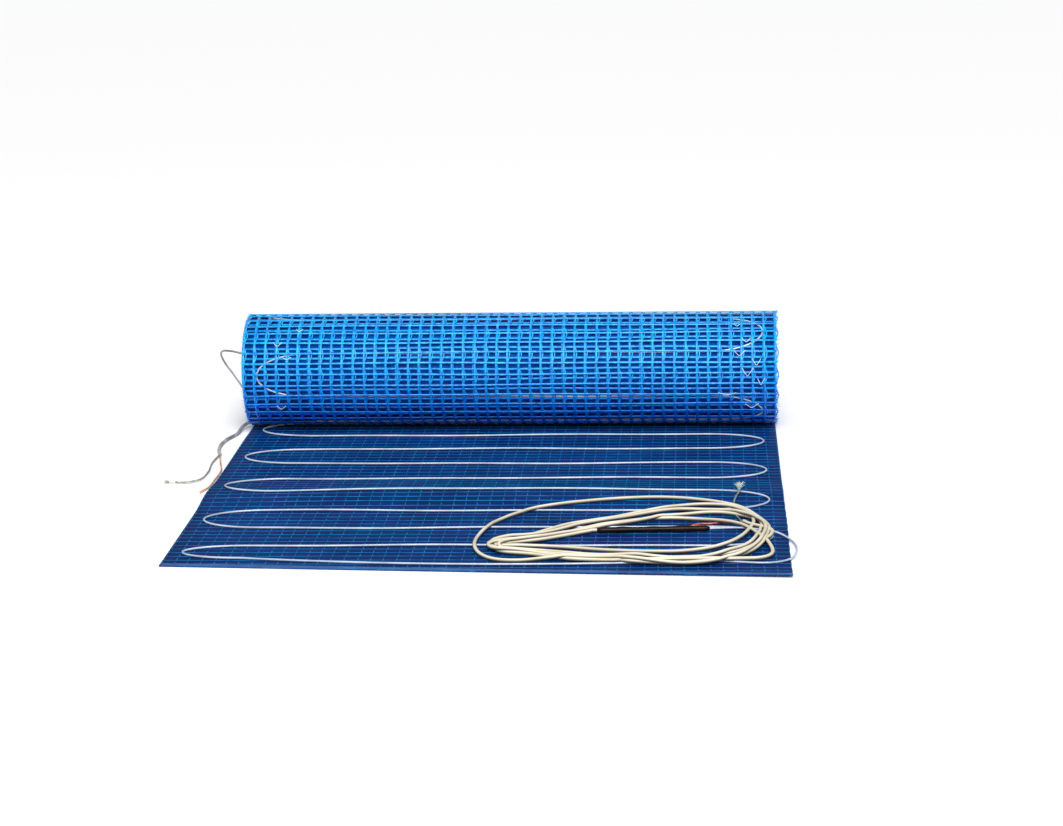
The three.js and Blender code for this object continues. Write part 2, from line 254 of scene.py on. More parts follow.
def noise_node(nodes, links, scale, detail=3.0, stretch=(1, 1, 1)):
    """Noise in the object's own metres, drawn out along an axis by stretch."""
    place = nodes.new("ShaderNodeTexCoord")
    mapping = nodes.new("ShaderNodeMapping")
    mapping.inputs["Scale"].default_value = stretch
    noise = nodes.new("ShaderNodeTexNoise")
    noise.inputs["Scale"].default_value = scale
    noise.inputs["Detail"].default_value = detail
    links.new(place.outputs["Object"], mapping.inputs["Vector"])
    links.new(mapping.outputs["Vector"], noise.inputs["Vector"])
    return noise


def tint(nodes, links, shader, noise, dark, light, low=0.35, high=0.65):
    """Base colour between dark and light, by a noise."""
    ramp = nodes.new("ShaderNodeValToRGB")
    ramp.color_ramp.elements[0].position = low
    ramp.color_ramp.elements[0].color = (*dark, 1)
    ramp.color_ramp.elements[1].position = high
    ramp.color_ramp.elements[1].color = (*light, 1)
    links.new(noise.outputs["Fac"], ramp.inputs["Fac"])
    links.new(ramp.outputs["Color"], shader.inputs["Base Color"])
    return ramp


def bumped(nodes, links, shader, source, strength, distance):
    bump = nodes.new("ShaderNodeBump")
    bump.inputs["Strength"].default_value = strength
    bump.inputs["Distance"].default_value = distance
    links.new(source, bump.inputs["Height"])
    links.new(bump.outputs["Normal"], shader.inputs["Normal"])


def varied(name, dark, light, scale, roughness, grain=900, bump=0.3, stretch=(1, 1, 1), **finish):
    """A material whose colour drifts between two shades and whose surface has a fine grain."""
    material, nodes, links, shader = node_material(name, light, roughness, **finish)
    tint(nodes, links, shader, noise_node(nodes, links, scale, stretch=stretch), dark, light)
    bumped(nodes, links, shader, noise_node(nodes, links, grain).outputs["Fac"], bump, 0.2 * MM)
    return material


def backing_material():
    return varied("mat_backing_blue", (0.0, 0.015, 0.095), (0.001, 0.026, 0.14), 14, 0.6, specular=0.06)


def flat_net_material():
    return varied("net_blue", (0.003, 0.095, 0.31), (0.012, 0.2, 0.5), 60, 0.4, specular=0.1)


# Painted shade: the deeper blue that the roll's nets are multiplied towards, low on the roll.
FOOT_PAINTED_SHADE = (0.6, 0.42, 0.9)


def painted_shade_below(nodes, links, shader, ramp):
    """Paints shade into the base colour: a deeper blue towards the roll's foot."""
    place = nodes.new("ShaderNodeTexCoord")
    height = nodes.new("ShaderNodeSeparateXYZ")
    share = nodes.new("ShaderNodeMapRange")
    share.inputs["From Min"].default_value = 0.3 * ROLL_RADIUS
    share.inputs["From Max"].default_value = 1.3 * ROLL_RADIUS
    share.inputs["To Min"].default_value = 1
    share.inputs["To Max"].default_value = 0
    mix = nodes.new("ShaderNodeMix")
    mix.data_type = "RGBA"
    mix.blend_type = "MULTIPLY"
    factor = next(socket for socket in mix.inputs if socket.name == "Factor" and socket.type == "VALUE")
    colors = [socket for socket in mix.inputs if socket.type == "RGBA"]
    colors[1].default_value = (*FOOT_PAINTED_SHADE, 1)
    links.new(place.outputs["Object"], height.inputs["Vector"])
    links.new(height.outputs["Z"], share.inputs["Value"])
    links.new(share.outputs["Result"], factor)
    links.new(ramp.outputs["Color"], colors[0])
    result = next(socket for socket in mix.outputs if socket.type == "RGBA")
    links.new(result, shader.inputs["Base Color"])


def roll_material(name, dark, light, specular):
    material, nodes, links, shader = node_material(name, light, 0.26, specular=specular)
    ramp = tint(nodes, links, shader, noise_node(nodes, links, 260), dark, light)
    bumped(nodes, links, shader, noise_node(nodes, links, 700).outputs["Fac"], 0.9, 0.2 * MM)
    # painted shade: deeper blue towards the roll's foot
    painted_shade_below(nodes, links, shader, ramp)
    return material


def roll_net_material():
    return roll_material("roll_net_azure", (0.0, 0.19, 0.62), (0.004, 0.44, 0.93), 0.5)


def deep_net_material():
    return roll_material("roll_inner_net_blue", (0.0, 0.17, 0.58), (0.003, 0.37, 0.86), 0.35)


def core_of_roll_material():
    return varied("roll_depth_blue", (0.0, 0.03, 0.2), (0.0, 0.07, 0.34), 90, 0.6, specular=0.05)


def cable_material():
    return varied("heating_cable_white", (0.3, 0.37, 0.48), (0.5, 0.58, 0.68), 40, 0.25, specular=0.8)


def bare_loop_material():
    return varied("heating_cable_grey", (0.12, 0.12, 0.15), (0.3, 0.29, 0.32), 60, 0.45)


def lead_material():
    """Cream, with painted shade on its underside: darker where the surface faces down."""
    material, nodes, links, shader = node_material("lead_cream", (0.7, 0.64, 0.5), 0.4, specular=0.35)
    ramp = tint(nodes, links, shader, noise_node(nodes, links, 25), (0.6, 0.54, 0.4), (0.8, 0.74, 0.59))
    # Painted shade: the colour is scaled down as the surface's normal turns from up to down.
    geometry = nodes.new("ShaderNodeNewGeometry")
    upward = nodes.new("ShaderNodeSeparateXYZ")
    shade = nodes.new("ShaderNodeMapRange")
    shade.inputs["From Min"].default_value = -0.2
    shade.inputs["From Max"].default_value = 0.75
    shade.inputs["To Min"].default_value = 0.22
    shade.inputs["To Max"].default_value = 1.0
    mix = nodes.new("ShaderNodeVectorMath")
    mix.operation = "SCALE"
    links.new(geometry.outputs["Normal"], upward.inputs["Vector"])
    links.new(upward.outputs["Z"], shade.inputs["Value"])
    links.new(ramp.outputs["Color"], mix.inputs[0])
    links.new(shade.outputs["Result"], mix.inputs["Scale"])
    links.new(mix.outputs["Vector"], shader.inputs["Base Color"])
    return material


def second_lead_material():
    return varied("lead_grey", (0.16, 0.18, 0.19), (0.42, 0.44, 0.44), 70, 0.55)


def splice_material():
    dark = (0.002, 0.002, 0.003)
    light = (0.012, 0.006, 0.005)
    return varied("shrink_sleeve_black", dark, light, 90, 0.35, specular=0.12)


def red_core_material():
    return varied("core_red", (0.35, 0.07, 0.04), (0.62, 0.2, 0.12), 120, 0.4)


def orange_core_material():
    return varied("core_orange", (0.5, 0.2, 0.12), (0.75, 0.42, 0.3), 120, 0.4)


def strand_metal_material():
    return varied("tinned_strands", (0.3, 0.33, 0.27), (0.62, 0.66, 0.58), 300, 0.38, metallic=0.8)


def thread_material():
    return varied("stitch_thread_white", (0.6, 0.75, 0.9), (0.85, 0.93, 1.0), 200, 0.5)


# Camera, floor and light

CAMERA_PLACE = (173.8 * MM, -2248.6 * MM, 580.3 * MM)
CAMERA_LENS = 89.27
CAMERA_PAN = math.radians(3.819)
CAMERA_DOWN = math.radians(13.597)
CAMERA_ROLL = math.radians(-1.145)


def add_camera():
    data = bpy.data.cameras.new("camera")
    data.lens = CAMERA_LENS
    data.sensor_width = 36
    data.sensor_fit = "HORIZONTAL"
    camera = bpy.data.objects.new("camera", data)
    turn = Matrix.Rotation(CAMERA_PAN, 4, "Z")
    turn = turn @ Matrix.Rotation(math.pi / 2 - CAMERA_DOWN, 4, "X")
    turn = turn @ Matrix.Rotation(CAMERA_ROLL, 4, "Z")
    camera.matrix_world = Matrix.Translation(CAMERA_PLACE) @ turn
    bpy.context.scene.collection.objects.link(camera)
    bpy.context.scene.camera = camera


def add_floor():
    size = 12
    mesh = bpy.data.meshes.new("floor")
    corners = [(-size, -size, 0), (size, -size, 0), (size, size, 0), (-size, size, 0)]
    mesh.from_pydata(corners, [], [(0, 1, 2, 3)])
    floor = bpy.data.objects.new("floor", mesh)
    bpy.context.scene.collection.objects.link(floor)
    mesh.materials.append(node_material("pale_floor", (0.96, 0.96, 0.965), 0.9, specular=0.1)[0])


KEY_DIRECTION = (-0.1, 0.66, -0.75)
SOFTBOX_PLACE = (0.1, -2.0, 1.15)


def place_lamp(light, place, direction):
    lamp = bpy.data.objects.new(light.name, light)
    lamp.location = place
    lamp.rotation_euler = Vector(direction).to_track_quat("-Z", "Y").to_euler()
    bpy.context.scene.collection.objects.link(lamp)


def add_light():
    """A soft key from high in front, a softbox for the roll's shine, and a white room."""
    world = bpy.data.worlds.new("studio")
    bpy.context.scene.world = world
    world.use_nodes = True
    background = world.node_tree.nodes["Background"]
    background.inputs["Color"].default_value = (1, 1, 1, 1)
    background.inputs["Strength"].default_value = 0.42
    key = bpy.data.lights.new("high_key", "SUN")
    key.energy = 2.5
    key.angle = math.radians(25)
    place_lamp(key, (0, 0, 0), KEY_DIRECTION)
    softbox = bpy.data.lights.new("front_softbox", "AREA")
    softbox.shape = "RECTANGLE"
    softbox.size = 1.1
    softbox.size_y = 0.35
    softbox.energy = 20
    place_lamp(softbox, SOFTBOX_PLACE, Vector((0, AXIS_Y, ROLL_RADIUS)) - Vector(SOFTBOX_PLACE))
    bpy.context.scene.view_settings.view_transform = "Standard"


# The heating cable's route


def run_y(k):
    return FIRST_RUN_Y - RUN_SPACING * k


# Two waves that keep a line from being quite straight: (height, length for one radian, shift for each line)
RUN_WAVES = [(1.3 * MM, 62 * MM, 2.1), (0.9 * MM, 27 * MM, 1.3)]
NET_WAVES = [(0.45 * MM, 83 * MM, 1.7), (0.25 * MM, 31 * MM, 0.9)]


def drift(waves, line, place):
    return sum(height * math.sin(place / length + shift * line) for height, length, shift in waves)


def run_drift(k, x):
    """A laid run isn't quite straight."""
    return drift(RUN_WAVES, k, x)


def cable_y(k, x):
    if k == RUN_COUNT - 1:
        return run_y(k) + LAST_RUN_BOW * ((x - LAST_RUN_MIDDLE) / LAST_RUN_HALF_LENGTH) ** 2
    return run_y(k) + run_drift(k, x)


def cable_height(x, y):
    return underside(x, y) + SHEET + REST_GAP + CABLE / 2


TURN_X = HALF_WIDTH - TURN_MARGIN - TURN_REACH
ROLL_RUN_ANGLE = math.radians(47.75)
FIRST_ROLL_RUN_ANGLE = math.radians(1.5)
ROLL_RUN_COUNT = 8
ROLL_DRIFT_SHARE = 0.4
FLAT_RUN_POINTS = 46
ROLL_RUN_POINTS = 40
TURN_POINTS = 20
FIRST_TURN_POINTS = 24
CABLE_STEP = 5 * MM
ROLL_CABLE_LIFT = SHEET / 2 + CABLE / 2 + 0.3 * MM
SPLICE_HEIGHT = SHEET + REST_GAP + SPLICE / 2
SPLICE_LEFT = Vector((0.091, -0.262, SPLICE_HEIGHT))
SPLICE_RIGHT = Vector((0.17886, -0.257, SPLICE_HEIGHT))

# The cable's way from the last run to the splice: on the mat, then over the hairpin beside it
TAIL_ON_MAT = [(0.224, -0.344), (0.239, -0.335), (0.2455, -0.307), (0.240, -0.279)]
TAIL_OVER_CABLE = [(0.230, -0.268), (0.219, -0.262), (0.205, -0.257)]


def flat_run(k, rightwards):
    """Points of one run between the turns."""
    xs = np.linspace(-TURN_X, TURN_X, FLAT_RUN_POINTS)
    if not rightwards:
        xs = xs[::-1]
    return [Vector((x, cable_y(k, x), cable_height(x, cable_y(k, x)))) for x in xs]


def flat_turn(k, side):
    """The half oval between run k and run k - 1, at one side of the mat."""
    points = []
    near = cable_y(k, side * TURN_X)
    far = cable_y(k - 1, side * TURN_X)
    middle = (near + far) / 2
    for i in range(1, TURN_POINTS):
        angle = math.pi * i / TURN_POINTS
        x = side * (TURN_X + TURN_REACH * math.sin(angle))
        y = middle - (far - near) / 2 * math.cos(angle)
        points.append(Vector((x, y, cable_height(x, y))))
    return points


def roll_run_distance(j):
    return roll_distance(FIRST_ROLL_RUN_ANGLE + ROLL_RUN_ANGLE * j)


def first_turn_into_roll(side):
    """From the last run on the flat, round under the roll's front, to the first run below it."""
    points = []
    near = run_y(0) - AXIS_Y
    far = roll_run_distance(0)
    for i in range(1, FIRST_TURN_POINTS):
        angle = math.pi * i / FIRST_TURN_POINTS
        x = side * (TURN_X + TURN_REACH * math.sin(angle))
        s = (near + far) / 2 - (far - near) / 2 * math.cos(angle)
        lift = ROLL_CABLE_LIFT if s > 0 else SHEET / 2 + REST_GAP + CABLE / 2
        points.append(on_sheet(x, s, lift)[0])
    return points


def roll_run(j, rightwards):
    s = roll_run_distance(j)
    xs = np.linspace(-TURN_X, TURN_X, ROLL_RUN_POINTS)
    if not rightwards:
        xs = xs[::-1]
    return [on_sheet(x, s + ROLL_DRIFT_SHARE * run_drift(j + 3, x), ROLL_CABLE_LIFT)[0] for x in xs]


def roll_turn(j, side):
    """The turn between the roll's runs j and j + 1."""
    points = []
    near = roll_run_distance(j)
    far = roll_run_distance(j + 1)
    for i in range(1, TURN_POINTS):
        angle = math.pi * i / TURN_POINTS
        x = side * (TURN_X + TURN_REACH * math.sin(angle))
        points.append(on_sheet(x, (near + far) / 2 - (far - near) / 2 * math.cos(angle), ROLL_CABLE_LIFT)[0])
    return points


def heating_cable_route():
    """From the splice round the mat's corner, up the mat run by run, and once round the roll."""
    on_mat = SHEET + REST_GAP + CABLE / 2
    route = [SPLICE_RIGHT + Vector((REST_GAP, 0, 0))]
    route += [Vector((x, y, on_mat + CABLE + REST_GAP)) for x, y in reversed(TAIL_OVER_CABLE)]
    route += [Vector((x, y, on_mat)) for x, y in reversed(TAIL_ON_MAT)]
    rightwards = False
    for k in reversed(range(RUN_COUNT)):
        route += flat_run(k, rightwards)
        side = 1 if rightwards else -1
        route += flat_turn(k, side) if k else first_turn_into_roll(side)
        rightwards = not rightwards
    for j in range(ROLL_RUN_COUNT):
        route += roll_run(j, rightwards)
        if j < ROLL_RUN_COUNT - 1:
            route += roll_turn(j, 1 if rightwards else -1)
        rightwards = not rightwards
    return smooth_line(route, CABLE_STEP)


# The loop out of the roll's left end: (how far out, angle above the level of the roll's axis)
LOOP_KNOTS = [(0, 30), (11, 33), (19, 33), (20, 30), (16.5, 21), (9, 9), (0, -7)]
LOOP_TURN_DEPTH = 1.25


def roll_loop_route():
    """The turn of cable that stands out of the roll's left end."""
    radius = ROLL_RADIUS - TURN_PITCH * LOOP_TURN_DEPTH
    points = []
    for out, degrees in LOOP_KNOTS:
        angle = math.radians(degrees)
        y = AXIS_Y - radius * math.cos(angle)
        z = ROLL_RADIUS + radius * math.sin(angle)
        points.append(Vector((-HALF_WIDTH - REST_GAP - out * MM, y, z)))
    return smooth_line(points, 1.5 * MM)


# The cold lead's route, seen from above. Each stretch has its place in the pile: a higher one
# lies on a lower one.

LEAD_ROUTE = [
    (0, [
        (0.0907, -0.262), (0.080, -0.2635), (0.067, -0.271),
        (0.051, -0.285), (0.034, -0.294), (0.017, -0.300),
    ]),
    (0, [
        (-0.001, -0.309), (0.020, -0.3165), (0.041, -0.321),
        (0.058, -0.331), (0.077, -0.340), (0.096, -0.345),
    ]),
    (0, [
        (0.126, -0.343), (0.171, -0.341), (0.202, -0.341), (0.218, -0.338), (0.2265, -0.326), (0.226, -0.306),
    ]),
    (0, [
        (0.218, -0.279), (0.206, -0.257), (0.189, -0.238), (0.171, -0.228), (0.152, -0.223), (0.130, -0.226),
    ]),
    (1, [
        (0.108, -0.240), (0.085, -0.254), (0.062, -0.271), (0.036, -0.291), (0.014, -0.301),
    ]),
    (1, [
        (-0.005, -0.3085), (0.012, -0.3155), (0.041, -0.320),
        (0.065, -0.328), (0.096, -0.340), (0.126, -0.347),
    ]),
    (1, [
        (0.156, -0.348), (0.183, -0.343), (0.202, -0.330), (0.218, -0.301), (0.225, -0.267), (0.221, -0.234),
    ]),
    (1, [(0.208, -0.203), (0.188, -0.184), (0.163, -0.174), (0.135, -0.170)]),
    (0, [
        (0.110, -0.173), (0.086, -0.178), (0.058, -0.187),
        (0.031, -0.205), (0.009, -0.238), (-0.0015, -0.278),
    ]),
    (0, [
        (-0.002, -0.308), (0.006, -0.329), (0.019, -0.339), (0.035, -0.340), (0.054, -0.336),
    ]),
    (1, [(0.073, -0.336)]),
    (2, [
        (0.096, -0.341), (0.126, -0.347), (0.157, -0.3515), (0.179, -0.348), (0.198, -0.337), (0.214, -0.309),
    ]),
    (2, [
        (0.223, -0.272), (0.219, -0.245), (0.207, -0.219), (0.192, -0.205), (0.172, -0.200),
    ]),
    (1, [
        (0.147, -0.200), (0.123, -0.212), (0.092, -0.233), (0.062, -0.258), (0.032, -0.280), (0.013, -0.2885),
    ]),
    (1, [(-0.006, -0.2965), (0.012, -0.3035)]),
    (0, [
        (0.036, -0.3005), (0.064, -0.304), (0.095, -0.312), (0.126, -0.316), (0.156, -0.316), (0.180, -0.310),
    ]),
    (0, [
        (0.200, -0.290), (0.211, -0.262), (0.214, -0.234), (0.209, -0.208), (0.196, -0.193), (0.178, -0.188),
    ]),
    (0, [
        (0.155, -0.193), (0.123, -0.210), (0.092, -0.229), (0.061, -0.252), (0.036, -0.275),
    ]),
    (1, [(0.012, -0.292), (-0.005, -0.301), (0.012, -0.3075)]),
    (1, [
        (0.037, -0.311), (0.065, -0.318), (0.096, -0.327), (0.123, -0.332), (0.156, -0.335), (0.183, -0.329),
    ]),
    (1, [
        (0.206, -0.306), (0.218, -0.271), (0.219, -0.239), (0.204, -0.214), (0.184, -0.206), (0.164, -0.211),
    ]),
    (1, [(0.132, -0.228), (0.093, -0.251), (0.062, -0.273), (0.036, -0.294)]),
    (0, [
        (0.016, -0.3015), (-0.001, -0.3095), (0.016, -0.316),
        (0.042, -0.3175), (0.077, -0.326), (0.111, -0.3315),
    ]),
    (0, [
        (0.149, -0.332), (0.181, -0.328), (0.202, -0.315), (0.216, -0.297), (0.2255, -0.283),
    ]),
    (0, [
        (0.2285, -0.272), (0.2235, -0.264), (0.214, -0.257), (0.2085, -0.249), (0.2045, -0.239),
    ]),
]
LEAD_STEP = 2 * MM
SETTLE_STEPS = 260
SINK = 0.06 * MM
PLAN_PULL = 0.12
LEAD_GAP = 0.08 * MM
START_HELD = 6 * MM
PLAN_STIFFNESS = 0.35
PLAN_REACH = 3
HEIGHT_STIFFNESS = 0.5
HEIGHT_REACH = 6
PAIRS_EVERY = 4
FLOOR_EVERY = 40
RAMP = 10
TIGHTEST_BEND = 6.3 * MM
EASE_STEPS = 70


def lead_plan():
    """The lead's route from above, with its place in the pile as a third value."""
    knots = [(x, y, rank * MM) for rank, stretch in LEAD_ROUTE for x, y in stretch]
    return smooth_line(knots, LEAD_STEP)


def cable_near_coil(route):
    """The heating cable's points where the lead may lie on it."""
    fine = even_line(route, 1 * MM)
    return fine[(fine[:, 1] < -0.15) & (fine[:, 0] > -0.03) & (fine[:, 2] < 10 * MM)]


def resting_floor(places, cable):
    """How low the lead's middle can be at each place: on the mat, or on the heating cable."""
    radius = LEAD / 2
    floor = np.array([underside(x, y) + SHEET + REST_GAP + radius for x, y in places])
    reach = radius + CABLE / 2
    for i, place in enumerate(places):
        away = np.hypot(cable[:, 0] - place[0], cable[:, 1] - place[1])
        on_it = away < reach
        if on_it.any():
            floor[i] = max(floor[i], (cable[on_it, 2] + np.sqrt(reach**2 - away[on_it] ** 2)).max())
    wide = np.array([floor[max(0, i - RAMP): i + RAMP + 1].max() for i in range(len(floor))])
    return np.maximum(floor, soft_mean(wide, RAMP))


def soft_mean(values, half):
    """A running mean that keeps both ends."""
    ends = ((half, half),) + ((0, 0),) * (values.ndim - 1)
    padded = np.pad(values, ends, mode="edge")
    total = np.cumsum(np.concatenate([np.zeros_like(padded[:1]), padded]), axis=0)
    return (total[2 * half + 1:] - total[: -2 * half - 1]) / (2 * half + 1)


def touching_pairs(line, reach):
    """Pairs of points nearer than reach that aren't neighbours along the lead."""
    apart = np.linalg.norm(line[:, None, :] - line[None, :, :], axis=2)
    count = len(line)
    between = np.abs(np.arange(count)[:, None] - np.arange(count)[None, :])
    first, second = np.where((apart < reach) & (between > 4 * LEAD / LEAD_STEP))
    keep = first < second
    return first[keep], second[keep]


def pushed_apart(line, first, second):
    """Moves each pair of points that lie in each other half way out of it."""
    pitch = LEAD + LEAD_GAP
    gap = line[second] - line[first]
    away = np.maximum(np.linalg.norm(gap, axis=1), 1e-6)
    inside = away < pitch
    push = gap[inside] * ((pitch - away[inside]) / away[inside] * 0.5)[:, None]
    moved = np.zeros_like(line)
    shares = np.zeros(len(line))
    np.add.at(moved, first[inside], -push)
    np.add.at(moved, second[inside], push)
    np.add.at(shares, first[inside], 1)
    np.add.at(shares, second[inside], 1)
    return line + moved / np.maximum(shares, 1)[:, None]


def settled(plan, cable):
    """Lets the lead sink onto the mat and onto itself, with its stiffness and its place from above kept."""
    floor = resting_floor(plan[:, :2], cable)
    start = np.array(SPLICE_LEFT)
    line = np.column_stack([plan[:, :2], floor + plan[:, 2] / MM * LEAD])
    held = max(2, round(START_HELD / LEAD_STEP))
    for step in range(SETTLE_STEPS):
        if step % PAIRS_EVERY == 0:
            first, second = touching_pairs(line, LEAD + 2 * MM)
        if step % FLOOR_EVERY == 0:
            floor = resting_floor(line[:, :2], cable)
        line[:, 2] -= SINK
        bend = soft_mean(line, PLAN_REACH)[:, :2] - line[:, :2]
        line[:, :2] += PLAN_STIFFNESS * bend + PLAN_PULL * (plan[:, :2] - line[:, :2])
        line[:, 2] += HEIGHT_STIFFNESS * (soft_mean(line[:, 2], HEIGHT_REACH) - line[:, 2])
        for _ in range(2):
            line = pushed_apart(line, first, second)
        line[:, 2] = np.maximum(line[:, 2], floor)
        line[:held, :2] = plan[:held, :2]
        line[:held, 2] = start[2]
    smooth = soft_mean(line, 2)
    smooth[:held] = line[:held]
    return even_line(smooth, LEAD_STEP)


def eased(line):
    """Rounds each bend that is tighter than the lead can lie in."""
    for _ in range(EASE_STEPS):
        ahead = np.diff(line, axis=0)
        length = np.linalg.norm(ahead, axis=1)
        cosine = (ahead[1:] * ahead[:-1]).sum(axis=1) / (length[1:] * length[:-1])
        turning = np.arccos(np.clip(cosine, -1, 1)) / length[1:]
        tight = np.concatenate([[False], turning > 1 / TIGHTEST_BEND, [False]])
        for _ in range(3):
            tight[1:-1] |= tight[:-2] | tight[2:]
        tight[:4] = False
        tight[-2:] = False
        middle = line.copy()
        middle[1:-1] = (line[:-2] + line[2:]) / 2
        line = np.where(tight[:, None], (line + middle) / 2, line)
    return even_line(line, LEAD_STEP)


def cold_lead_route(cable_route):
    plan = eased(lead_plan())
    return eased(settled(plan, cable_near_coil(cable_route)))


SECOND_LEAD = [
    (-0.2403, 0.096, 0.007), (-0.2475, 0.084, 0.004), (-0.250, 0.062, 0.00175), (-0.256, 0.040, 0.00175),
    (-0.2575, 0.018, 0.00175), (-0.2555, 0.000, 0.00175), (-0.252, -0.013, 0.00175),
]
SECOND_CORE = [
    (-0.252, -0.0133, 0.00175), (-0.247, -0.040, 0.00155), (-0.2418, -0.066, 0.00155),
    (-0.2418, -0.100, 0.00155), (-0.2425, -0.121, 0.00155), (-0.247, -0.138, 0.00155),
]
SECOND_BRAID = [
    (-0.2526, -0.0133, 0.00175), (-0.254, -0.042, 0.00175), (-0.252, -0.074, 0.00175),
    (-0.255, -0.098, 0.00175), (-0.264, -0.106, 0.00175), (-0.274, -0.106, 0.00175),
]


def add_cords():
    """The leads and their stripped ends; the cold lead settles onto the heating cable, whose route is given
    back.
    """
    cable_route = heating_cable_route()
    lead_ends = add_lead_ends()
    lead_line = cold_lead_route(cable_route)
    lead = curve_tube("cold_lead_cord", lead_line, LEAD, lead_material())
    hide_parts("cold_lead", "cold_lead_coil")
    second_line = smooth_line(SECOND_LEAD, 2 * MM)
    second = curve_tube("second_lead_cord", second_line, LEAD, second_lead_material())
    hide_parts("second_lead")
    return cable_route


# The sheet and its net

BACKING = 0.6 * MM
FLAT_ROWS = 90
RAGGED_END = 0.8
TURN_STEPS = 40
ROLL_START = math.tau
ROLL_STOP = math.tau * (ROLL_RADIUS - BORE_RADIUS) / TURN_PITCH
NET_HEIGHT = 0.9 * MM
EDGE_INSET = 0.6 * MM
SECOND_NET_LIFT = -1.6 * MM
FLAT_SWAY = 0.15
ROLL_SWAY = 0.6
LAP = 6 * MM


def shell(name, rows, material):
    """A thin closed sheet. rows holds, row by row, pairs of a point on its upper and on its lower face."""
    across = len(rows[0])
    vertices = [tuple(upper) for row in rows for upper, _ in row]
    under = len(vertices)
    vertices += [tuple(lower) for row in rows for _, lower in row]
    faces = []
    for i in range(len(rows) - 1):
        for j in range(across - 1):
            a = i * across + j
            b = a + across
            faces.append((a, a + 1, b + 1, b))
            faces.append((under + a, under + b, under + b + 1, under + a + 1))
    rim = list(range(across))
    rim += [i * across + across - 1 for i in range(1, len(rows))]
    rim += [(len(rows) - 1) * across + j for j in reversed(range(across - 1))]
    rim += [i * across for i in reversed(range(1, len(rows) - 1))]
    for a, b in zip(rim, rim[1:] + rim[:1]):
        faces.append((b, a, under + a, under + b))
    return mesh_piece(name, vertices, faces, material)


def pair_on_sheet(x, s):
    point, lift = on_sheet(x, s, 0)
    return point + lift * BACKING / 2, point - lift * BACKING / 2


def add_backing():
    """The dark backing of the unrolled part, and the roll's inner turns."""
    rows = []
    for i in range(FLAT_ROWS + 1):
        row = []
        for j in range(CELLS_ACROSS + 1):
            x = -HALF_WIDTH + 2 * HALF_WIDTH * j / CELLS_ACROSS
            start = free_end_y(x) - AXIS_Y
            row.append(pair_on_sheet(x, start * (1 - i / FLAT_ROWS) - 0.01 * MM))
        rows.append(row)
    flat = shell("mat_backing", rows, backing_material())
    rows = []
    steps = round((ROLL_STOP - ROLL_START) / math.tau * TURN_STEPS)
    for i in range(steps + 1):
        angle = ROLL_START + (ROLL_STOP - ROLL_START) * i / steps
        left = -HALF_WIDTH + random.uniform(0, RAGGED_END) * MM
        right = HALF_WIDTH - random.uniform(0, RAGGED_END) * MM
        xs = [left, left / 2, 0, right / 2, right]
        rows.append([pair_on_sheet(x, roll_distance(angle)) for x in xs])
    turns = shell("roll_turns", rows, core_of_roll_material())
    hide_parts("mesh_mat")
    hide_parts("mesh_mat")


def add_roll_fill():
    """What the eye meets between the turns, a little way in from the roll's ends."""
    inset = 4 * MM
    outer = ROLL_RADIUS - 2.4 * TURN_PITCH
    half = HALF_WIDTH - inset
    sides = 72
    vertices = []
    faces = []
    for radius, x in ((outer, -half), (outer, half), (BORE_RADIUS, half), (BORE_RADIUS, -half)):
        for k in range(sides):
            angle = math.tau * k / sides
            vertices.append((x, AXIS_Y + radius * math.sin(angle), ROLL_RADIUS - radius * math.cos(angle)))
    for ring in range(4):
        for k in range(sides):
            a = ring * sides
            b = (ring + 1) % 4 * sides
            faces.append((a + k, b + k, b + (k + 1) % sides, a + (k + 1) % sides))
    fill = mesh_piece("roll_fill", vertices, faces, core_of_roll_material(), smooth=False)
    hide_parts("mesh_mat")


def net_drift(seed, place):
    """Strands of a net aren't quite straight."""
    return drift(NET_WAVES, seed, place)


def weft(vertices, faces, s, lift, width, seed, stick_out):
    """One strand across the mat."""
    low = -HALF_WIDTH - random.uniform(0, stick_out)
    high = HALF_WIDTH + random.uniform(0, stick_out)
    if s < 0:
        y = AXIS_Y + s
        share = (y - RIGHT_END_Y) / (LEFT_END_Y - RIGHT_END_Y)
        if share < 1:
            low = HALF_WIDTH - 2 * HALF_WIDTH * share
    if high - low < CELL:
        return
    count = max(4, round((high - low) / (CELL * 2)))
    pairs = [on_sheet(x, s + net_drift(seed, x), lift) for x in np.linspace(low, high, count + 1)]
    swept(vertices, faces, [p for p, _ in pairs], [n for _, n in pairs], width, NET_HEIGHT, 6)


def warp_places(start, stop, step):
    count = max(2, round((stop - start) / step))
    return np.linspace(start, stop, count + 1)


def warp_ground(vertices, faces, x, start, stop, lift, width, seed):
    """The straight yarn of a strand along the mat."""
    pairs = [on_sheet(x + net_drift(seed, s), s, lift) for s in warp_places(start, stop, CELL / 2)]
    swept(vertices, faces, [p for p, _ in pairs], [n for _, n in pairs], width, NET_HEIGHT * 0.7, 6)


def warp_doup(vertices, faces, x, start, stop, lift, width, seed, sway):
    """The second yarn, which swaps sides between two weft strands and passes over each."""
    points = []
    normals = []
    for s in warp_places(start, stop, CELL / 4):
        swing = math.cos(math.pi * s / CELL)
        point, normal = on_sheet(x + net_drift(seed, s) + sway * swing, s, lift + 0.2 * MM * abs(swing))
        points.append(point)
        normals.append(normal)
    swept(vertices, faces, points, normals, width, NET_HEIGHT * 0.6, 4)


def weft_places(start, stop):
    """Distances of the strands across the mat. In the second turn they show between the outer ones."""
    if stop <= roll_distance(math.tau):
        first = (math.ceil(start / CELL - WEFT_PHASE) + WEFT_PHASE) * CELL
        return list(np.arange(first, stop, CELL))
    outer = np.arange((WEFT_PHASE - 1) * CELL, roll_distance(math.tau), CELL)
    return [roll_distance(roll_angle(s + CELL / 2) + math.tau) for s in outer if s + CELL / 2 > 0]


